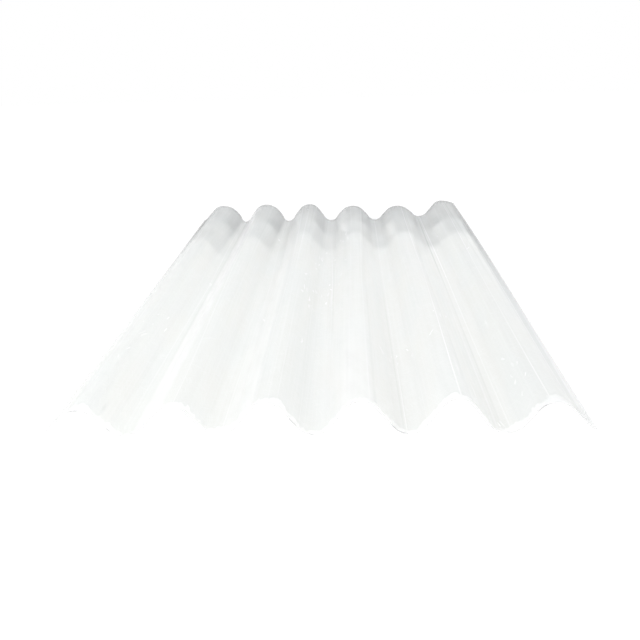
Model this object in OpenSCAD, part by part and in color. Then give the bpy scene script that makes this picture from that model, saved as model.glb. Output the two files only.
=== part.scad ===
// Corrugated fibreglass (glass-reinforced polyester) roofing sheet, in millimetres.
// The corrugations run along Y, the width lies along X and +Z is up. The origin is
// the middle of the plane that the sheet lies on, under the centre of the sheet.

/* [Sheet] */
// Length along the corrugations
sheet_length = 1525; // [600:5:3600]
// Thickness of the laminate, square to its face
sheet_thickness = 1.5; // [0.8:0.1:3]

/* [Corrugation] */
// Number of whole crests across the width
crest_count = 6; // [2:1:8]
// Distance from the middle of one crest to the middle of the next
pitch = 146; // [132:1:160]
// Rise from a trough to a crest, measured on one face
corrugation_depth = 54; // [40:1:58]
// Radius of the crests and troughs, at the middle of the thickness
bend_radius = 32; // [22:1:33]

/* [Side edges] */
// Distance from the middle of each outermost crest to the trimmed side edge
edge_reach = 62; // [30:1:66]

/* [Fineness] */
// Flats that stand for the curve of one bend; an even number puts one on its summit
bend_flats = 16; // [8:2:24]

/* [Hidden] */

half_pitch = pitch / 2;
crest_span = (crest_count - 1) * pitch;
sheet_width = crest_span + 2 * edge_reach;
sheet_height = corrugation_depth + sheet_thickness;

// The flank is the common tangent of a crest bend and a trough bend. Its slope solves
//   half_pitch * sin(slope) + (2 * bend_radius - corrugation_depth) * cos(slope) = 2 * bend_radius
bend_gap = 2 * bend_radius - corrugation_depth;
flank_slope = asin(2 * bend_radius / norm([half_pitch, bend_gap])) - atan2(bend_gap, half_pitch);

// Heights of the bend centres. The outer face of a trough touches Z = 0.
trough_centre_z = bend_radius + sheet_thickness / 2;
crest_centre_z = trough_centre_z - bend_gap;

// Places of the bends across the width, with one spare crest beyond each side edge.
crest_places = [for (i = [-1 : crest_count]) i * pitch - crest_span / 2];

// One bend of the given radius about [x, z], from left to right. Its flats touch the true
// arc at their middles, and the first and last of them are the flanks, so depth, slope
// and thickness are exact. The side is 1 for a crest and -1 for a trough.
function bend(x, z, radius, side) =
    let (step = 2 * flank_slope / bend_flats, corner_radius = radius / cos(step / 2))
    [for (i = [0.5 : bend_flats - 0.5])
        let (angle = i * step - flank_slope)
        [x + corner_radius * sin(angle), z + side * corner_radius * cos(angle)]];

// One face of the corrugation, the given distance above the middle of the thickness.
function face(above) =
    [for (x = crest_places)
        each concat(
            bend(x, crest_centre_z, bend_radius + above, 1),
            bend(x + half_pitch, trough_centre_z, bend_radius - above, -1)
        )];

function reversed(points) = [for (i = [len(points) - 1 : -1 : 0]) points[i]];

// Cross-section of the sheet: both faces as one closed outline, trimmed square to width.
module corrugated_section() {
    intersection() {
        polygon(concat(face(sheet_thickness / 2), reversed(face(-sheet_thickness / 2))));
        translate([-sheet_width / 2, 0])
            square([sheet_width, sheet_height]);
    }
}

// The sheet itself: the section drawn out along Y and cut square at both ends.
module corrugated_sheet() {
    color([0.94, 0.95, 0.94, 0.6])
        rotate([90, 0, 0])
            linear_extrude(height = sheet_length, center = true)
                corrugated_section();
}

corrugated_sheet();
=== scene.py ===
import math

import bpy
import numpy as np
from mathutils import Matrix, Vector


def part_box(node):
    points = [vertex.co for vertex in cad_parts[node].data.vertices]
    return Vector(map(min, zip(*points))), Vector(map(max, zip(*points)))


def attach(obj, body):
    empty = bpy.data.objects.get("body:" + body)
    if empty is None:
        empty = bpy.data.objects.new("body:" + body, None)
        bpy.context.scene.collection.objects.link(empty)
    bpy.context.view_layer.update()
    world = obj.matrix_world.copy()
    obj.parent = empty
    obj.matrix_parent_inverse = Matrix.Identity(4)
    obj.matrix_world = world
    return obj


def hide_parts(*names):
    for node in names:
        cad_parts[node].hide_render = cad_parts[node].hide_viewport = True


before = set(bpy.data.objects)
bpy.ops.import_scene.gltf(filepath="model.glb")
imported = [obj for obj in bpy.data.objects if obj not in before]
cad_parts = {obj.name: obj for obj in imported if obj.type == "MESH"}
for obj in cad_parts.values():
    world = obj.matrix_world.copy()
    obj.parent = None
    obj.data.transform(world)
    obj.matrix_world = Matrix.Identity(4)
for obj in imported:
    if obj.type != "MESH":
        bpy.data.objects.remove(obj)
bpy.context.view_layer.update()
print("frame loaded")

mm = 0.001   # everything is in metres, apart from what is said to be in mm


def toLinear(hexColour, alpha=1.0):
    # sRGB hex to the linear RGBA that nodes take
    parts = [int(hexColour[i:i + 2], 16) / 255 for i in (1, 3, 5)]
    return tuple(p / 12.92 if p <= 0.04045 else ((p + 0.055) / 1.055) ** 2.4 for p in parts) + (alpha,)


def addNode(tree, kind, inputs=None, **settings):
    # a node with its settings, and each input set to a value, or linked to a socket or to the
    # first output of a node
    node = tree.nodes.new(kind)
    for name, value in settings.items():
        setattr(node, name, value)
    for name, value in (inputs or {}).items():
        if isinstance(value, bpy.types.Node):
            value = value.outputs[0]
        if isinstance(value, bpy.types.NodeSocket):
            tree.links.new(value, node.inputs[name])
        else:
            node.inputs[name].default_value = value
    return node


def newMaterial(name):
    # a material whose node tree is empty
    material = bpy.data.materials.new(name)
    material.use_nodes = True
    material.node_tree.nodes.clear()
    return material, material.node_tree


# One sheet of glass-reinforced polyester. Bends are numbered from the middle trough, 0: odd ones
# are crests, even ones troughs, and -6 and 6 are the troughs that the side edges stop short of.
sheet = {
    "node": "corrugated_sheet",
    "crests": 6,
    "thickness": 0.0015,
    "bendRadius": 0.032,
    "edgeReach": 0.062,        # middle of an outer crest to the side edge
    "acrossStep": 0.0009,      # mesh spacing across, fine enough for a crease
    "stations": 38,            # rings of points along the length
    # how far each bend from -6 to 6 has sprung from the regular section at either end
    "nearSpring": (0.0, -0.0106, 0.0, -0.0055, 0.0031, -0.0012, 0.0, 0.0010, 0.0, 0.0034, 0.0,
                   -0.0044, 0.0),
    "farSpring": (0.0012, 0.0012, 0.0, 0.0029, 0.0, 0.0019, 0.0, -0.0064, 0.0, -0.0092, 0.0089,
                  0.0053, 0.0053),
    # over the last of its length the crests have spread and the troughs pinched: how far the middle
    # of each flank, from bend -6 on, has moved to the right at the far end
    "farLean": (-0.003, 0.016, -0.0075, 0.012, -0.006, 0.003, -0.009, 0.005, -0.006, 0.007, 0.001, 0.0),
    "leanReach": 0.52,         # how far from the far end the lean sets in
    # The lips past the last crests have opened a little on the left and widely on the right, and
    # were trimmed askew: share of the slope that is left, and width cut off, near end and far end.
    "leftLip": ((1.02, 0.895), (0.008, 0.0)),
    "rightLip": ((0.95, 0.37), (0.003, 0.040)),
    # the lips have no relief near the near end: width and length over which it dies out
    "lipCalm": (0.025, 0.4),
    "dieLines": 60,            # faint ridges drawn along by the forming shoes
    "dieLineHeight": (0.000018, 0.00006),
    "dieLineSigns": (-0.6, 1.0),       # about half of them are grooves, and shallower
    "dieLineWidth": (0.0025, 0.0045),
    "dieLineWander": 0.003,
    "dieLineWaves": (1, 4),    # how fast they wander and fade along the sheet
    "dieLineFades": (1, 5),
    # values given by threes stand at these places, where -1 is the near end and 1 the far end
    "givenAt": (-0.85, 0.0, 0.75),
    # Marks of the creased release film, each with its distance in mm from a bend and its strength at
    # the far end, the middle and the near end, and its width in mm. A minus strength is a furrow. Each
    # mark is a low relief, and its colour paints a highlight along a crease and a shade along a furrow.
    "creases": (
        (-5, (-8.5, -8.5, -8.5), (4.0, 1.5, 1.0), 2.0), (-5, (-22, -22, -21), (0.0, 1.0, 1.8), 4.0),
        (-5, (8.5, 8.5, 9.0), (1.5, 0.3, 1.3), 1.0), (-4, (-9.5, -1.5, -7.0), (1.8, 3.0, 1.0), 1.5),
        (-4, (7.0, 7.0, 7.0), (-1.4, -1.6, -0.8), 3.0), (-4, (23.5, 23.5, 26.0), (2.5, 1.0, 0.0), 6.0),
        (-3, (-8.0, -9.5, 2.0), (1.5, 2.9, 1.5), 1.5), (-3, (22.5, 22.0, 22.0), (-1.6, -0.8, -0.8), 3.0),
        (-2, (-20, -20, -20), (-1.4, 0.0, 0.0), 3.0), (-2, (-8.0, 7.0, 3.5), (2.5, 1.4, 1.8), 1.2),
        (-1, (-17.5, -12.0, -18.0), (4.5, 1.2, 1.4), 1.5), (-1, (1.5, 1.5, 2.5), (2.5, 1.2, 1.5), 1.5),
        (-1, (15.0, 17.0, 17.0), (-1.8, 0.6, 1.4), 1.2), (0, (-38.0, -34.0, -27.0), (1.6, 1.2, 2.0), 1.0),
        (0, (-15.0, -17.0, -17.0), (-1.8, 1.0, 1.3), 1.2), (0, (3.0, 17.0, 22.0), (1.6, 2.4, 1.0), 1.5),
        (1, (-6.0, -15.0, -19.0), (2.5, 1.2, 1.6), 1.2), (1, (21.0, 13.0, 12.0), (2.7, 1.4, 2.2), 1.5),
        (1, (28.0, 24.0, 22.0), (-1.8, -0.9, -1.0), 3.0), (2, (-9.5, -9.5, -9.0), (-1.5, -0.9, -2.1), 2.0),
        (2, (-4.0, -4.0, -3.5), (3.0, 1.2, 2.7), 1.0), (2, (33.0, 33.0, 33.0), (0.0, 0.5, 1.3), 1.0),
        (3, (11.0, 12.0, 4.0), (5.0, 2.3, 5.0), 1.2), (3, (18.5, 24.0, 20.0), (-1.8, -1.0, -1.0), 3.0),
        (4, (-17.0, -12.0, -13.0), (1.0, 1.2, 1.8), 3.0), (4, (-7.0, -5.0, -5.0), (-4.2, -2.2, -1.2), 2.5),
        (4, (2.0, 7.0, 8.5), (6.0, 2.2, 2.5), 1.5), (4, (62.0, 62.0, 62.0), (1.8, 0.0, 0.0), 5.0),
        (5, (-1.0, -5.5, -6.5), (6.5, 1.8, 3.8), 1.2), (5, (8.5, 12.0, 11.0), (-3.0, -1.0, -0.8), 3.0),
        (5, (35.5, 33.0, 29.0), (4.0, 6.0, 4.0), 1.5),
    ),
    "creaseHeight": 0.00004,   # height of a mark of strength 1
    "creaseWander": 0.0006,
    "creaseWaves": (2, 6),     # how fast they wander and fade along the sheet, and how far they fade
    "creaseFades": (3, 9),
    "creaseFade": 0.2,
    # short marks, lighter or darker: across, along, half width, half length, strength
    "scuffs": ((-0.438, -0.728, 0.005, 0.016, -2.2), (-0.424, -0.742, 0.004, 0.008, -2.2),
               (-0.520, -0.700, 0.003, 0.040, 3.0), (0.330, -0.690, 0.004, 0.030, 2.5),
               (0.300, -0.640, 0.003, 0.050, 2.0), (0.015, -0.100, 0.004, 0.060, 2.0),
               (0.430, -0.360, 0.003, 0.022, 2.5), (0.120, -0.700, 0.012, 0.012, -1.2)),
    # flanks painted lighter with the light and glare from the left: middle across, half width, and
    # strength at the far end, the middle and the near end
    "paintedLightFlanks": ((-0.335, 0.033, (1.2, 1.15, 1.15)), (-0.150, 0.034, (0.0, 0.30, 0.65)),
                   (0.045, 0.036, (0.0, 0.10, 0.30)), (0.087, 0.026, (0.0, 0.0, 0.50)),
                   (0.235, 0.030, (0.0, 0.0, 0.15)), (0.550, 0.020, (0.0, 0.0, 1.0))),
    "paintedLightEdge": 0.5,           # they fade out over this share of their half width
    # places where resin-starved flecks crowd: across, along, half width, half length, share
    "fleckPlaces": ((-0.040, -0.16, 0.022, 0.12, 0.80), (0.020, -0.08, 0.018, 0.16, 0.60),
                    (0.038, 0.32, 0.030, 0.16, 0.35), (-0.030, 0.18, 0.020, 0.06, 0.5),
                    (0.315, -0.36, 0.018, 0.07, 0.30), (-0.455, -0.38, 0.016, 0.08, 0.4),
                    (0.190, -0.48, 0.014, 0.05, 0.5), (0.437, -0.61, 0.020, 0.07, 0.7),
                    (0.375, -0.70, 0.020, 0.05, 0.5), (-0.478, -0.64, 0.018, 0.12, 0.4)),
    "fewFlecks": 0.010,        # their share anywhere else
    "sawWander": 0.0006,       # how far the sawn ends stray from straight
    "sawTooth": 9,             # points across that one stroke of the saw takes
    # stretches of the near rim where the resin is whole and looks dark: middle across, half length
    "wholeResin": ((-0.478, 0.010), (-0.413, 0.008), (-0.040, 0.012), (-0.004, 0.006),
                   (0.172, 0.020), (0.452, 0.016)),
    "sharpAngle": 50,
    "seed": 11,
}
low, high = (np.array(corner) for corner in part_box(sheet["node"]))
width, length, height = high - low
pitch = (width - 2 * sheet["edgeReach"]) / (sheet["crests"] - 1)
depth = height - sheet["thickness"]
radius = sheet["bendRadius"]
bendGap = 2 * radius - depth
flankSlope = math.asin(2 * radius / math.hypot(pitch / 2, bendGap)) - math.atan2(bendGap, pitch / 2)
flankRun = (pitch / 2 - 2 * radius * math.sin(flankSlope)) / math.cos(flankSlope)
halfWave = 2 * radius * flankSlope + flankRun   # developed length from a trough to a crest
lastCrest = (sheet["crests"] - 1) * halfWave
# untrimmed, the side edge lies on the arc of the next trough, short of its middle
edgeShort = sheet["crests"] / 2 * pitch - width / 2
edgeAcross = sheet["crests"] * halfWave - radius * math.asin(edgeShort / radius)


def easeIn(value, start, reach):
    # a smooth step from 0 at start to 1 a reach further on
    part = np.clip((value - start) / reach, 0, 1)
    return part * part * (3 - 2 * part)


def bell(distance, spread):
    # 1 in the middle, and falling as e to the minus square of the distance in spreads
    return np.exp(-(distance / spread) ** 2)


def anyWave(rng, frequencies, place):
    # a sine of any frequency between two, in radians a metre, with any phase
    return np.sin(rng.uniform(*frequencies) * place + rng.uniform(0, 6.3))


def givenByThrees(along, values):
    # straight lines between the values for the far end, the middle and the near end
    return np.interp(along * 2 / length, sheet["givenAt"], values[::-1])


def sectionAt(across):
    # The middle of the laminate at a developed distance from the central trough. Folded back to
    # the nearest trough, it climbs a circle of the bend radius until the flank's slope, runs
    # straight, and then follows an equal circle the other way over the crest.
    troughs = np.round(across / (2 * halfWave))
    fromTrough = across - troughs * 2 * halfWave
    side = np.where(fromTrough < 0, -1.0, 1.0)
    run = np.abs(fromTrough)
    arc = radius * flankSlope
    slope = np.minimum(np.minimum(run, halfWave - run) / radius, flankSlope)
    lowX, lowZ = radius * np.sin(slope), radius * (1 - np.cos(slope))
    flank = np.clip(run - arc, 0, flankRun)
    onCrest = run > arc + flankRun
    x = np.where(onCrest, pitch / 2 - lowX, lowX + flank * math.cos(flankSlope))
    z = np.where(onCrest, depth - lowZ, lowZ + flank * math.sin(flankSlope))
    return troughs * pitch + side * x, z


def bendAt(across):
    # the bend to the left of a place, from -6 to 5, and the share of the way to the next
    bend = np.clip(np.floor(across / halfWave).astype(int), -sheet["crests"], sheet["crests"] - 1)
    return bend, across / halfWave - bend


def springAt(across, springs):
    # the spring of the bends either side, blended by half a cosine
    bend, way = bendAt(across)
    share = (1 - np.cos(np.pi * way)) / 2
    values = np.array(springs)
    return values[bend + sheet["crests"]] * (1 - share) + values[bend + sheet["crests"] + 1] * share


def openedLip(beyond, share):
    # The strip past the last crest: the same arc, straight flank and arc as anywhere, with every
    # slope cut to a share. Its reach and its drop are the integrals of the cosine and the sine.
    steep, bend = share * flankSlope, radius / share
    first = np.minimum(beyond, radius * flankSlope) / bend
    flank = np.clip(beyond - radius * flankSlope, 0, flankRun)
    last = steep - np.maximum(beyond - radius * flankSlope - flankRun, 0) / bend
    reach = bend * (np.sin(first) + np.sin(steep) - np.sin(last)) + flank * np.cos(steep)
    drop = bend * (1 - np.cos(first) + np.cos(last) - np.cos(steep)) + flank * np.sin(steep)
    return reach, drop


def sprungSection(across, along):
    # The regular section with the lip opened, the lean of its flanks added sideways, and the
    # springs of its bends added to the height: near ones and far ones, blended by a smooth step
    # along the sheet. Returns the slope too.
    x, z = sectionAt(across)
    far = np.clip(along / length + 0.5, 0, 1)
    left, right = (np.interp(far, (0, 1), sheet[lip][0]) for lip in ("leftLip", "rightLip"))
    beyond = np.abs(across) - lastCrest
    reach, drop = openedLip(np.maximum(beyond, 0), np.where(across < 0, left, right))
    x = np.where(beyond > 0, np.sign(across) * ((sheet["crests"] - 1) / 2 * pitch + reach), x)
    z = np.where(beyond > 0, depth - drop, z)
    # the lean is half a sine over each flank, so that the bends keep their places
    bend, way = bendAt(across)
    lean = np.array(sheet["farLean"])[bend + sheet["crests"]] * np.sin(np.pi * np.clip(way, 0, 1))
    x = x + lean * easeIn(along, length / 2 - sheet["leanReach"], sheet["leanReach"])
    ease = easeIn(far, 0, 1)
    z = z + springAt(across, sheet["nearSpring"]) * (1 - ease) + springAt(across, sheet["farSpring"]) * ease
    return x, z, np.arctan2(np.gradient(z, axis=0), np.gradient(x, axis=0))


def trimLips(across, along):
    # squeezes what lies past the last crests, in proportion, until the trimmed edges are in place
    far = np.clip(along / length + 0.5, 0, 1)
    left, right = (np.interp(far, (0, 1), sheet[lip][1]) for lip in ("leftLip", "rightLip"))
    keep = 1 - np.where(across < 0, left, right) / (edgeAcross - lastCrest)
    size = np.abs(across)
    return np.sign(across) * (np.minimum(size, lastCrest) + np.maximum(size - lastCrest, 0) * keep)


def quads(a, b, c, d):
    # one four-sided face for every cell of a grid, from its four corners taken round
    return np.stack([a.ravel(), b.ravel(), c.ravel(), d.ravel()], axis=-1)


def creaseMarks(rng, place, along):
    # How strongly the skin is marked. Each crease or furrow is bell-shaped across, its distance from
    # its bend wanders a little along the sheet, and it fades in and out. Scuffs are bell-shaped both
    # across and along.
    mark = np.zeros(place.shape)
    for bend, offsets, strengths, wide in sheet["creases"]:
        wander = sheet["creaseWander"] * anyWave(rng, sheet["creaseWaves"], along)
        fade = 1 + sheet["creaseFade"] * (anyWave(rng, sheet["creaseFades"], along) - 1)
        centre = bend * halfWave + givenByThrees(along, offsets) * mm + wander
        mark += givenByThrees(along, strengths) * fade * bell(place - centre, wide * mm)
    for centre, middle, wide, far, strength in sheet["scuffs"]:
        mark += strength * bell(place - centre, wide) * bell(along - middle, far)
    return mark


def dieLineRelief(rng, place, along):
    # ridges and grooves of the same bell shape, anywhere across, that wander further and fade right out
    relief = np.zeros(place.shape)
    for _ in range(sheet["dieLines"]):
        centre = rng.uniform(-edgeAcross, edgeAcross)
        wander = sheet["dieLineWander"] * anyWave(rng, sheet["dieLineWaves"], along)
        fade = (1 + anyWave(rng, sheet["dieLineFades"], along)) / 2
        tall = rng.uniform(*sheet["dieLineHeight"]) * rng.choice(sheet["dieLineSigns"])
        relief += tall * fade * bell(place - centre - wander, rng.uniform(*sheet["dieLineWidth"]))
    return relief


def paintedLightShare(place, along):
    # the painted light on a flank is level across its middle and ends in a smooth step on either side
    paintedLight = np.zeros(place.shape)
    soft = sheet["paintedLightEdge"]
    for centre, half, strengths in sheet["paintedLightFlanks"]:
        inside = (1 + soft / 2) * half - np.abs(place - centre)
        paintedLight += givenByThrees(along, strengths) * easeIn(inside, 0, soft * half)
    return paintedLight


def fleckShare(place, along):
    # a few flecks anywhere, and crowds that are bell-shaped both across and along
    crowd = np.full(place.shape, sheet["fewFlecks"])
    for centre, middle, wide, far, share in sheet["fleckPlaces"]:
        crowd += share * bell(place - centre, wide) * bell(along - middle, far)
    return crowd


def closedMesh(name, faces):
    # the upper and the lower face are grids of points of one size, and four rims join their edges
    points = np.concatenate([face.reshape(-1, 3) for face in faces])
    top = np.arange(len(points) // 2).reshape(faces[0].shape[:2])
    under = top + top.size
    walls = [
        quads(top[:-1, :-1], top[1:, :-1], top[1:, 1:], top[:-1, 1:]),
        quads(under[:-1, :-1], under[:-1, 1:], under[1:, 1:], under[1:, :-1]),
    ]
    rims = [
        quads(top[:-1, 0], under[:-1, 0], under[1:, 0], top[1:, 0]),
        quads(top[1:, -1], under[1:, -1], under[:-1, -1], top[:-1, -1]),
        quads(top[0, 1:], under[0, 1:], under[0, :-1], top[0, :-1]),
        quads(top[-1, :-1], under[-1, :-1], under[-1, 1:], top[-1, 1:]),
    ]
    polygons = np.concatenate(walls + rims)
    isRim = np.zeros(len(polygons), dtype=np.float32)
    isRim[sum(len(w) for w in walls):] = 1.0

    mesh = bpy.data.meshes.new(name)
    mesh.vertices.add(len(points))
    mesh.vertices.foreach_set("co", points.ravel().astype(np.float32))
    mesh.loops.add(polygons.size)
    mesh.loops.foreach_set("vertex_index", polygons.ravel().astype(np.int32))
    mesh.polygons.add(len(polygons))
    mesh.polygons.foreach_set("loop_start", np.arange(0, polygons.size, 4, dtype=np.int32))
    mesh.update(calc_edges=True)
    mesh.validate()
    mesh.shade_smooth()
    mesh.set_sharp_from_angle(angle=math.radians(sheet["sharpAngle"]))
    rim = mesh.attributes.new("cutRim", "FLOAT", "FACE")
    rim.data.foreach_set("value", isRim)
    return mesh


def buildSheet(name):
    # The sheet is a grid: developed distance across by distance along. The sprung section gives its
    # middle surface, and both faces stand off it by half the thickness, along its normal.
    rng = np.random.default_rng(sheet["seed"])
    along = np.linspace(-length / 2, length / 2, sheet["stations"])
    across = np.append(np.arange(-edgeAcross, edgeAcross, sheet["acrossStep"]), edgeAcross)
    place = trimLips(across[:, None], along[None, :])
    x, z, slope = sprungSection(place, along[None, :])
    mark = creaseMarks(rng, place, along)
    relief = dieLineRelief(rng, place, along) + sheet["creaseHeight"] * mark
    calmWidth, calmLength = sheet["lipCalm"]
    beyond = np.clip((np.abs(place) - lastCrest) / calmWidth, 0, 1)
    relief *= 1 - beyond * np.clip(-along / calmLength, 0, 1)

    # the film creases only the upper face
    faces = []
    for off in (sheet["thickness"] / 2 + relief, np.full(x.shape, -sheet["thickness"] / 2)):
        px = x - np.sin(slope) * off
        pz = z + np.cos(slope) * off + sheet["thickness"] / 2
        py = np.broadcast_to(along, px.shape).copy()
        faces.append(np.stack([px, py, pz], axis=-1))
    # both ends are sawn: any numbers, smoothed over one stroke of the saw
    kernel = np.hanning(sheet["sawTooth"])
    kernel /= kernel.sum()
    for column, inward in ((0, 1), (-1, -1)):
        saw = np.convolve(rng.uniform(-1, 1, len(across)), kernel, mode="same")
        for face in faces:
            face[:, column, 1] += inward * sheet["sawWander"] * (1 + saw)
    mesh = closedMesh(name, faces)

    # where each point is on the flat sheet before it was corrugated: across, along
    flat = np.stack(np.broadcast_arrays(place, along, 0.0), axis=-1).reshape(-1, 3)
    flatPlace = mesh.attributes.new("flatPlace", "FLOAT_VECTOR", "POINT")
    flatPlace.data.foreach_set("vector", np.concatenate([flat, flat]).ravel().astype(np.float32))
    # and what the material needs to know of it, on the upper and the lower face
    whole = sum(bell(place - centre, half) for centre, half in sheet["wholeResin"])
    # one of them is where light and glare are painted on the flanks
    for label, upper, lower in (("creaseMark", mark, 0), ("paintedLightMark", paintedLightShare(place, along), 0),
                                ("fleckShare", fleckShare(place, along), 0),
                                ("wholeResin", whole, whole)):
        layer = mesh.attributes.new(label, "FLOAT", "POINT")
        both = np.stack(np.broadcast_arrays(upper, lower))
        layer.data.foreach_set("value", both.ravel().astype(np.float32))
    piece = bpy.data.objects.new(name, mesh)
    bpy.context.collection.objects.link(piece)
    return piece


laminate = buildSheet("grp_sheet")
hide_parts(sheet["node"])
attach(laminate, "root")
print("sheet built:", len(laminate.data.polygons), "faces")


finish = {
    "ior": 1.53,              # cured polyester resin
    "roughness": 0.26,        # the gloss of the film side, dulled by handling
    "specular": 0.2,
    "alpha": 0.36,
    "milk": 0.3,
    "scatter": 0.0025,        # how far light travels inside, in metres
    "bump": 0.04,             # of the streaks, whose full height is 1 mm
    "cool": "#EAEDEB",
    "warm": "#ECEDE9",
    "strand": "#F3F5F3",
    # a painted highlight along a crease and a painted shade along a furrow
    "paintedCreaseHighlight": "#FFFFFF",
    "paintedFurrowShade": "#C9CFCB",
    "white": "#FFFFFF",       # painted light on the flanks, the near end and the cut face, and resin-starved flecks
    "rim": "#737A77",
    "farRim": "#A3A9A6",
    # noise whose cells measure so many metres across and along, its turn in the plane of the sheet
    # in degrees, its detail, and a shift that keeps it apart from the others
    "patterns": {
        "blotches": ((0.070, 0.260), 0, 2.0, 0.0),    # resin that set a little warmer
        "streaks": ((0.0045, 0.350), 0, 4.0, 0.0),    # drawn out by the shoes
        # a chopped strand is about 0.3 mm by 40 mm, and is drawn 1 mm wide so that it shows
        "strands": ((0.0010, 0.040), 18, 0.0, 0.18557),
        "crossStrands": ((0.0010, 0.040), 74, 0.0, 0.76289),
        "backStrands": ((0.0010, 0.040), 131, 0.0, 1.35052),
        "patches": ((0.030, 0.120), 12, 2.0, 0.2),    # where the painted light on the flanks comes and goes
        "lobes": ((0.050, 10.0), 0, 2.0, 0.4),        # of the band of painted light at the near end
        "teeth": ((0.009, 0.020), 0, 5.0, 0.7),       # on its edge
        "dashes": ((0.006, 0.200), 0, 2.0, 0.9),      # of whole resin in the cut face
    },
    # smooth ramps: the value at which each starts and ends, and what it gives there, which is a
    # share unless something else is said
    "ramps": {
        "blotches": (0.35, 0.65, 0.0, 1.0),
        "strands": (0.60, 0.74, 0.0, 0.5),
        "streaks": (0.35, 0.75, 0.0, 0.35),
        "patches": (0.30, 0.62, 0.55, 1.0),
        # shares of the painted highlight along a crease and of the painted shade along a furrow
        "creases": (0.0, 4.0, 0.0, 1.0),
        "paintedFurrowShading": (0.0, -4.5, 0.0, 1.0),
        "lobes": (0.30, 0.75, 0.003, 0.024),    # gives metres, as the next
        "teeth": (0.20, 0.80, -0.005, 0.007),
        "paintedNearEndLight": (0.0045, -0.0030, 0.0, 1.0),    # from metres past the band's edge
        "dashes": (0.22, 0.45, 0.0, 1.0),
        "sideRims": (0.60, 1.30, 0.0, 1.0),     # from metres past the near end, as the next
        "farRims": (1.515, 1.520, 0.0, 1.0),
        "fleckReach": (0.0, 1.0, 0.08, 0.26),   # gives cells, and the one after next takes them
        "fleckStrength": (0.0, 1.0, 0.35, 1.0),
        "fleckEdge": (0.07, -0.05, 0.0, 1.0),
    },
    "fleckSize": (0.009, 0.050),    # across and along, of the cell that a fleck lies in
    # scale, detail and reach in metres of the two warps that lean and fray the flecks
    "fleckWarps": ((26.0, 0.0, 0.022), (420.0, 1.0, 0.004)),
}
rampEnds = ("From Min", "From Max", "To Min", "To Max")
ramps = {name: dict(zip(rampEnds, ends)) for name, ends in finish["ramps"].items()}


def flecksAt(tree, place, share):
    # Long flecks, one to a cell at most, and a cell holds one where its dice throw falls under the
    # share painted on the mesh. A coarse warp leans each its own way, a fine one frays its outline.
    spot = place
    for scale, detail, reach in finish["fleckWarps"]:
        warp = addNode(tree, "ShaderNodeTexNoise", {"Vector": place, "Scale": scale, "Detail": detail})
        spot = addNode(tree, "ShaderNodeVectorMath", {
            0: warp.outputs["Color"], 1: (reach, reach, 0), 2: spot}, operation="MULTIPLY_ADD")
    spot = addNode(tree, "ShaderNodeMapping", {
        "Vector": spot, "Scale": finish["fleckSize"] + (1.0,)}, vector_type="TEXTURE")
    cells = addNode(tree, "ShaderNodeTexVoronoi", {
        "Vector": spot, "Scale": 1.0, "Randomness": 1.0}, voronoi_dimensions="2D").outputs
    dice = addNode(tree, "ShaderNodeSeparateColor", {"Color": cells["Color"]}).outputs
    held = addNode(tree, "ShaderNodeMath", {0: dice["Red"], 1: share}, operation="LESS_THAN")
    reach = addNode(tree, "ShaderNodeMapRange", {"Value": dice["Green"], **ramps["fleckReach"]},
                    interpolation_type="SMOOTHSTEP")
    strength = addNode(tree, "ShaderNodeMapRange", {"Value": dice["Blue"], **ramps["fleckStrength"]},
                       interpolation_type="SMOOTHSTEP")
    past = addNode(tree, "ShaderNodeMath", {0: cells["Distance"], 1: reach}, operation="SUBTRACT")
    edge = addNode(tree, "ShaderNodeMapRange", {"Value": past, **ramps["fleckEdge"]},
                   interpolation_type="SMOOTHSTEP")
    flecks = addNode(tree, "ShaderNodeMath", {0: held, 1: strength}, operation="MULTIPLY")
    return addNode(tree, "ShaderNodeMath", {0: flecks, 1: edge}, operation="MULTIPLY")


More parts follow.
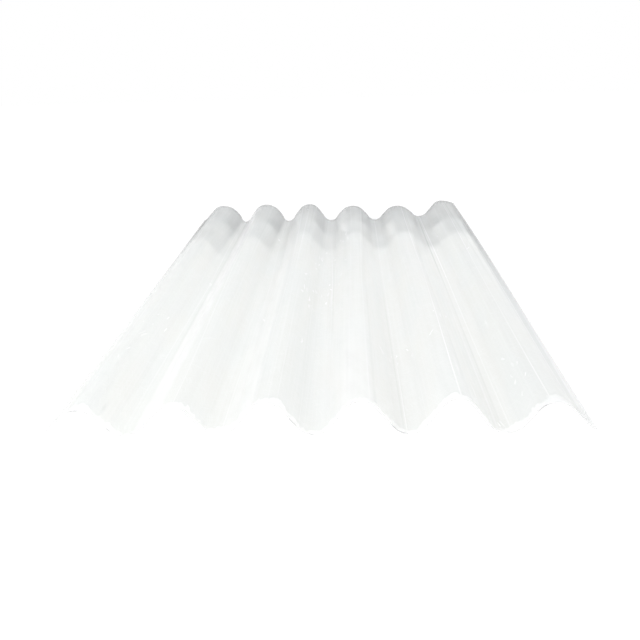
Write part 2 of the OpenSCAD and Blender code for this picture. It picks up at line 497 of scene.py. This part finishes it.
def grpLaminate():
    # Translucent glass-reinforced polyester, cured between release films and drawn through
    # corrugating shoes: a wet-looking gloss skin with faint lines along it, milky inside.
    material, tree = newMaterial("grpLaminate")
    place = addNode(tree, "ShaderNodeAttribute", attribute_name="flatPlace").outputs["Vector"]
    painted = {name: addNode(tree, "ShaderNodeAttribute", attribute_name=name).outputs["Fac"]
               for name in ("creaseMark", "paintedLightMark", "fleckShare", "wholeResin", "cutRim")}
    noise = {}
    for name, (size, turn, detail, shift) in finish["patterns"].items():
        spot = addNode(tree, "ShaderNodeMapping", {
            "Vector": place, "Location": (shift, shift, 0), "Rotation": (0, 0, math.radians(turn)),
            "Scale": size + (1.0,)}, vector_type="TEXTURE")
        noise[name] = addNode(tree, "ShaderNodeTexNoise", {"Vector": spot, "Scale": 1.0, "Detail": detail})

    # chopped strands lie every way in the mat; each layer of them has its own direction
    strands = noise["strands"]
    for layer in ("crossStrands", "backStrands"):
        strands = addNode(tree, "ShaderNodeMath", {0: strands, 1: noise[layer]}, operation="MAXIMUM")
    acrossAlong = addNode(tree, "ShaderNodeSeparateXYZ", {"Vector": place})
    inward = addNode(tree, "ShaderNodeMath", {
        0: acrossAlong.outputs["Y"], 1: float(length / 2)}, operation="ADD")
    dashes = addNode(tree, "ShaderNodeMath", {
        0: painted["wholeResin"], 1: noise["dashes"]}, operation="MULTIPLY")
    shares = {}
    for name, value in (("blotches", noise["blotches"]), ("strands", strands),
                        ("streaks", noise["streaks"]), ("patches", noise["patches"]),
                        ("creases", painted["creaseMark"]), ("paintedFurrowShading", painted["creaseMark"]),
                        ("lobes", noise["lobes"]), ("teeth", noise["teeth"]), ("dashes", dashes),
                        ("sideRims", inward), ("farRims", inward)):
        shares[name] = addNode(tree, "ShaderNodeMapRange", {"Value": value, **ramps[name]},
                               interpolation_type="SMOOTHSTEP")
    # the painted light on the flanks comes and goes along the sheet
    shares["paintedLight"] = addNode(tree, "ShaderNodeMath", {
        0: painted["paintedLightMark"], 1: shares["patches"]}, operation="MULTIPLY")
    shares["flecks"] = flecksAt(tree, place, painted["fleckShare"])
    # the near end is painted white as light, in a ragged band: its depth is coarse lobes plus fine teeth
    band = addNode(tree, "ShaderNodeMath", {0: shares["lobes"], 1: shares["teeth"]}, operation="ADD")
    past = addNode(tree, "ShaderNodeMath", {0: inward, 1: band}, operation="SUBTRACT")
    shares["paintedNearEndLight"] = addNode(tree, "ShaderNodeMapRange", {"Value": past, **ramps["paintedNearEndLight"]},
                             interpolation_type="SMOOTHSTEP")

    # In a Mix node for colours, input 0 is the factor, 6 and 7 are the colours below and above, and
    # output 2 is the mixture.
    # The cut face is painted white as light at the near end, dark where the resin is whole, and darker
    # towards the far end.
    cut = toLinear(finish["white"])
    for share, over in (("dashes", "rim"), ("sideRims", "rim"), ("farRims", "farRim")):
        cut = addNode(tree, "ShaderNodeMix", {
            0: shares[share], 6: cut, 7: toLinear(finish[over])}, data_type="RGBA").outputs[2]
    # The two tints of the resin come first, then what lies in it, then the painted light on the flanks, the
    # painted highlights and shades of the marks on its skin, the flecks, and the painted light at its near
    # end.
    colour = toLinear(finish["cool"])
    for share, over in (("blotches", "warm"), ("strands", "strand"), ("streaks", "strand"),
                        ("paintedLight", "white"), ("creases", "paintedCreaseHighlight"), ("paintedFurrowShading", "paintedFurrowShade"),
                        ("flecks", "white"), ("paintedNearEndLight", "white")):
        colour = addNode(tree, "ShaderNodeMix", {
            0: shares[share], 6: colour, 7: toLinear(finish[over])}, data_type="RGBA").outputs[2]
    colour = addNode(tree, "ShaderNodeMix", {
        0: painted["cutRim"], 6: colour, 7: cut}, data_type="RGBA").outputs[2]
    bump = addNode(tree, "ShaderNodeBump", {
        "Height": noise["streaks"], "Strength": finish["bump"], "Distance": mm})
    shader = addNode(tree, "ShaderNodeBsdfPrincipled", {
        "Base Color": colour, "Roughness": finish["roughness"], "IOR": finish["ior"],
        "Specular IOR Level": finish["specular"], "Alpha": finish["alpha"],
        "Subsurface Weight": finish["milk"], "Subsurface Scale": finish["scatter"],
        "Subsurface Radius": (1.0, 1.0, 1.0), "Normal": bump})
    addNode(tree, "ShaderNodeOutputMaterial", {"Surface": shader})
    return material


laminate.data.materials.append(grpLaminate())
print("materials made")


studio = {
    "floorSize": 14.0,
    "floorDrop": 0.0005,       # how far it lies under the sheet
    "floorColour": "#F4F4F4",
    "floorShade": "#606060",   # how much of its shading the floor shows directly
    "floorGlow": 0.94,         # what the floor adds for camera rays alone
    "worldLight": 0.95,
    "keyPower": 22.0,
    "keyPlace": (-1.7, -0.85, 2.1),
    "keySize": (0.9, 0.35),
    "fillPower": 13.0,
    "fillPlace": (1.9, 0.40, 1.7),
    "fillSize": (1.2, 0.3),
}


def seenDirectly(tree):
    # 1 for camera, glossy and transmission rays, so that gloss shows the white surround too
    path = addNode(tree, "ShaderNodeLightPath").outputs
    seen = path["Is Camera Ray"]
    for kind in ("Is Glossy Ray", "Is Transmission Ray"):
        seen = addNode(tree, "ShaderNodeMath", {0: seen, 1: path[kind]}, operation="MAXIMUM")
    return seen


def stageFloor():
    # White matt paint, which shows almost no shade. It glows to the camera and keeps its own colour
    # as a source of bounced light.
    half = studio["floorSize"] / 2
    corners = [(-half, -half, 0), (half, -half, 0), (half, half, 0), (-half, half, 0)]
    mesh = bpy.data.meshes.new("floor")
    mesh.from_pydata(corners, [], [(0, 1, 2, 3)])
    piece = bpy.data.objects.new("floor", mesh)
    piece.location.z = -studio["floorDrop"]
    bpy.context.collection.objects.link(piece)
    material, tree = newMaterial("paintedFloor")
    matte = addNode(tree, "ShaderNodeBsdfDiffuse", {"Color": toLinear(studio["floorColour"])})
    glow = addNode(tree, "ShaderNodeEmission", {"Color": (1, 1, 1, 1), "Strength": studio["floorGlow"]})
    faint = addNode(tree, "ShaderNodeBsdfDiffuse", {"Color": toLinear(studio["floorShade"])})
    both = addNode(tree, "ShaderNodeAddShader", {0: faint, 1: glow})
    seen = addNode(tree, "ShaderNodeMixShader", {0: seenDirectly(tree), 1: matte, 2: both})
    addNode(tree, "ShaderNodeOutputMaterial", {"Surface": seen})
    mesh.materials.append(material)


def whiteWorld():
    # a plain surround, at full white where it is seen and a little less where it lights
    world = bpy.data.worlds.new("studio")
    world.use_nodes = True
    tree = world.node_tree
    tree.nodes.clear()
    strength = addNode(tree, "ShaderNodeMix", {
        0: seenDirectly(tree), 2: studio["worldLight"], 3: 1.0}, data_type="FLOAT")
    surround = addNode(tree, "ShaderNodeBackground", {"Color": (1, 1, 1, 1), "Strength": strength})
    addNode(tree, "ShaderNodeOutputWorld", {"Surface": surround})
    bpy.context.scene.world = world


def softLamp(name, place, size, power):
    # an oblong soft box, tilted about the length of the sheet to face its middle line
    lamp = bpy.data.lights.new(name, "AREA")
    lamp.shape = "RECTANGLE"
    lamp.size, lamp.size_y = size
    lamp.energy = power
    piece = bpy.data.objects.new(name, lamp)
    piece.location = place
    piece.rotation_euler = (0, math.atan2(place[0], place[2]), 0)
    bpy.context.collection.objects.link(piece)


# A net of studio kit over the sheet, which is no part of it: it gives the shade over the far end.
scrim = {
    "black": "#101010",
    "smoke": "#F1FAFF",        # it cools the light that it lets through
    "gap": 0.003,              # how high it lies above the sheet
    "step": 0.006,
    "hem": 0.03,               # past the far end it falls to the floor over this length
    "hemShare": 0.8,           # and takes this share of the light, set in over the next length
    "hemSetIn": 0.006,
    # every share of the light it takes is given over a trough, a left-hand flank, a crest and a
    # right-hand flank, and these are the ends of the level parts, in flanks from the trough
    "parts": (0.18, 0.34, 0.66, 0.82),
    "even": (0.05, 0.0, 0.13, 0.0),    # evens out the parts that face the lamps most
    "away": (0.05, 0.0, 0.06, 0.03),   # taken more and more from the near end to the far one
    "awayFrom": (-0.6, 1.0),   # where that starts, and its reach
    "rightSide": (0.06, 0.05),  # past the last trough, set in over the second length
    # bands over the far end: where each starts at the six crests, the length it sets in over, its
    # shares, and how much larger they are on the right, away from the right-hand flanks
    "bands": (((0.295, 0.305, 0.325, 0.350, 0.370, 0.305), 0.070, (0.02, 0.00, 0.02, 0.02), 1.5),
              ((0.310, 0.320, 0.345, 0.365, 0.385, 0.320), 0.008, (0.15, 0.09, 0.18, 0.20), 1.5),
              ((0.430, 0.425, 0.435, 0.440, 0.440, 0.430), 0.016, (-0.04, -0.04, -0.04, -0.03), 1.0),
              ((0.550, 0.525, 0.545, 0.550, 0.580, 0.510), 0.120, (0.14, 0.20, 0.20, 0.18), 1.1),
              ((0.590, 0.530, 0.560, 0.555, 0.610, 0.500), 0.012, (0.05, 0.20, 0.12, 0.34), 1.1),
              ((0.800, 0.740, 0.650, 0.650, 0.690, 0.800), 0.060, (0.06, 0.30, 0.22, 0.06), 0.7),
              ((0.730,) * 6, 0.030, (0.00, 0.25, 0.10, 0.30), 1.0)),
    "onRight": (0.10, 0.22),   # where across that begins and is full
    # how fully the bands reach the left-hand flanks, by crest, and the troughs
    "leftFlanks": (0.6, 0.4, 0.75, 0.55, 1.12, 1.15),
    "troughs": (0.3, 0.45, 0.9, 1.0, 1.25),
    "wander": 0.008,           # how far a band's start strays, in so many waves of these frequencies
    "waves": (4, (12, 90)),
    "spared": (-0.340, 0.044),  # the flank that keeps its glare: middle across, half width
    "sparedTo": (0.54, 0.08),  # how far along, and the length it ends over
    # over the side lips, at five places along, from so far past the last crest and set in over
    "lipPlaces": (-0.6, 0.0, 0.30, 0.45, 0.58),
    "leftLip": ((0.04, 0.17, 0.28, 0.66, 0.97), 0.015, 0.030),
    "rightLip": ((0.19, 0.50, 0.78, 0.94, 0.80), 0.025, 0.016),
}


def shareOver(across, shares):
    # four shares carried round the wave: level over each part, and straight lines between them
    trough, left, crest, right = shares
    parts = np.array(scrim["parts"])
    levels = (trough, left, left, crest, crest, right, right, trough)
    return np.interp(across / halfWave, np.concatenate([parts, parts + 1]), levels, period=2)


def scrimShare(across, along):
    # What is left is a product: the evening-out, the falls along and across, the bands, each with
    # a wandering start, and the lips. The spared flank gets its light back short of the last bands.
    rng = np.random.default_rng(sheet["seed"])
    crests = np.arange(-sheet["crests"] + 1, sheet["crests"], 2) * halfWave
    left = 1 - shareOver(across, scrim["even"])
    left = left * (1 - shareOver(across, scrim["away"]) * easeIn(along, *scrim["awayFrom"]))
    rightSide, setIn = scrim["rightSide"]
    left = left * (1 - rightSide * easeIn(across, lastCrest - halfWave, setIn))
    onFlanks = np.interp(across, crests, scrim["leftFlanks"])
    onTroughs = np.interp(across, crests[:-1] + halfWave, scrim["troughs"])
    partly = 1 - shareOver(across, (0, 1, 0, 0)) * (1 - onFlanks)
    partly = partly - shareOver(across, (1, 0, 0, 0)) * (1 - onTroughs)
    count, frequencies = scrim["waves"]
    for starts, reach, shares, onRight in scrim["bands"]:
        stray = sum(anyWave(rng, frequencies, across) for _ in range(count)) / math.sqrt(count)
        start = np.interp(across, crests, starts) + scrim["wander"] * stray
        gain = np.interp(across, scrim["onRight"], (1, onRight))
        gain = gain + (1 - gain) * shareOver(across, (0, 0, 0, 1))
        taken = shareOver(across, shares) * gain * partly
        left = left * (1 - taken * easeIn(along, start - reach / 2, reach))
    middle, half = scrim["spared"]
    left = left + (1 - left) * bell(across - middle, half) ** 2 * (1 - easeIn(along, *scrim["sparedTo"]))
    for name, side in (("leftLip", -1), ("rightLip", 1)):
        shares, start, reach = scrim[name]
        lip = np.interp(along, scrim["lipPlaces"], shares)
        left = left * (1 - lip * easeIn(side * across, lastCrest + start, reach))
    return 1 - left * (1 - scrim["hemShare"] * easeIn(along, length / 2, scrim["hemSetIn"]))


def layScrim():
    # One thin net of matt black thread follows the sheet just above it. It is so fine that it shows
    # as an even shade: a share of the light goes no further, and the rest passes straight through.
    across = np.linspace(-edgeAcross, edgeAcross, int(2 * edgeAcross / scrim["step"]))
    along = np.arange(-length / 2, length / 2 + scrim["hem"], scrim["step"])
    place = trimLips(across[:, None], along[None, :])
    x, z, slope = sprungSection(place, along[None, :])
    off = scrim["gap"] + sheet["thickness"] / 2
    fall = easeIn(along, length / 2 + scrim["hemSetIn"], scrim["hem"])
    up = (z + np.cos(slope) * off + sheet["thickness"] / 2) * (1 - fall)
    points = np.stack(np.broadcast_arrays(x - np.sin(slope) * off, along, up), axis=-1)
    grid = np.arange(x.size).reshape(x.shape)
    faces = quads(grid[:-1, :-1], grid[1:, :-1], grid[1:, 1:], grid[:-1, 1:])
    mesh = bpy.data.meshes.new("scrim")
    mesh.from_pydata(points.reshape(-1, 3).tolist(), [], faces.tolist())
    share = mesh.attributes.new("share", "FLOAT", "POINT")
    share.data.foreach_set("value", scrimShare(place, along[None, :]).ravel().astype(np.float32))
    piece = bpy.data.objects.new("scrim", mesh)
    bpy.context.collection.objects.link(piece)
    material, tree = newMaterial("blackNet")
    taken = addNode(tree, "ShaderNodeAttribute", attribute_name="share").outputs["Fac"]
    tint = addNode(tree, "ShaderNodeMix", {
        0: taken, 6: toLinear("#FFFFFF"), 7: toLinear(scrim["smoke"])}, data_type="RGBA")
    clear = addNode(tree, "ShaderNodeBsdfTransparent", {"Color": tint.outputs[2]})
    matte = addNode(tree, "ShaderNodeBsdfDiffuse", {"Color": toLinear(scrim["black"])})
    cloth = addNode(tree, "ShaderNodeMixShader", {0: taken, 1: clear, 2: matte})
    addNode(tree, "ShaderNodeOutputMaterial", {"Surface": cloth})
    mesh.materials.append(material)
    # it shades the sheet and its gloss, and the camera looks past it
    piece.visible_camera = False


stageFloor()
whiteWorld()
layScrim()
softLamp("keyLamp", studio["keyPlace"], studio["keySize"], studio["keyPower"])
softLamp("fillLamp", studio["fillPlace"], studio["fillSize"], studio["fillPower"])

view = {
    "lens": 43.54,
    "sensor": 36.0,
    "place": (0.0574, -1.8176, 0.5624),
    "down": 19.594,            # degrees below level
    "turn": 2.363,             # degrees to the left of straight along the sheet
    "roll": -1.588,
}
camera = bpy.data.cameras.new("camera")
camera.lens = view["lens"]
camera.sensor_width = view["sensor"]
cameraPiece = bpy.data.objects.new("camera", camera)
cameraPiece.matrix_world = (Matrix.Translation(view["place"])
                            @ Matrix.Rotation(math.radians(view["turn"]), 4, "Z")
                            @ Matrix.Rotation(math.radians(90 - view["down"]), 4, "X")
                            @ Matrix.Rotation(math.radians(view["roll"]), 4, "Z"))
bpy.context.collection.objects.link(cameraPiece)
bpy.context.scene.camera = cameraPiece
bpy.context.scene.view_settings.view_transform = "Standard"
print("stage set")
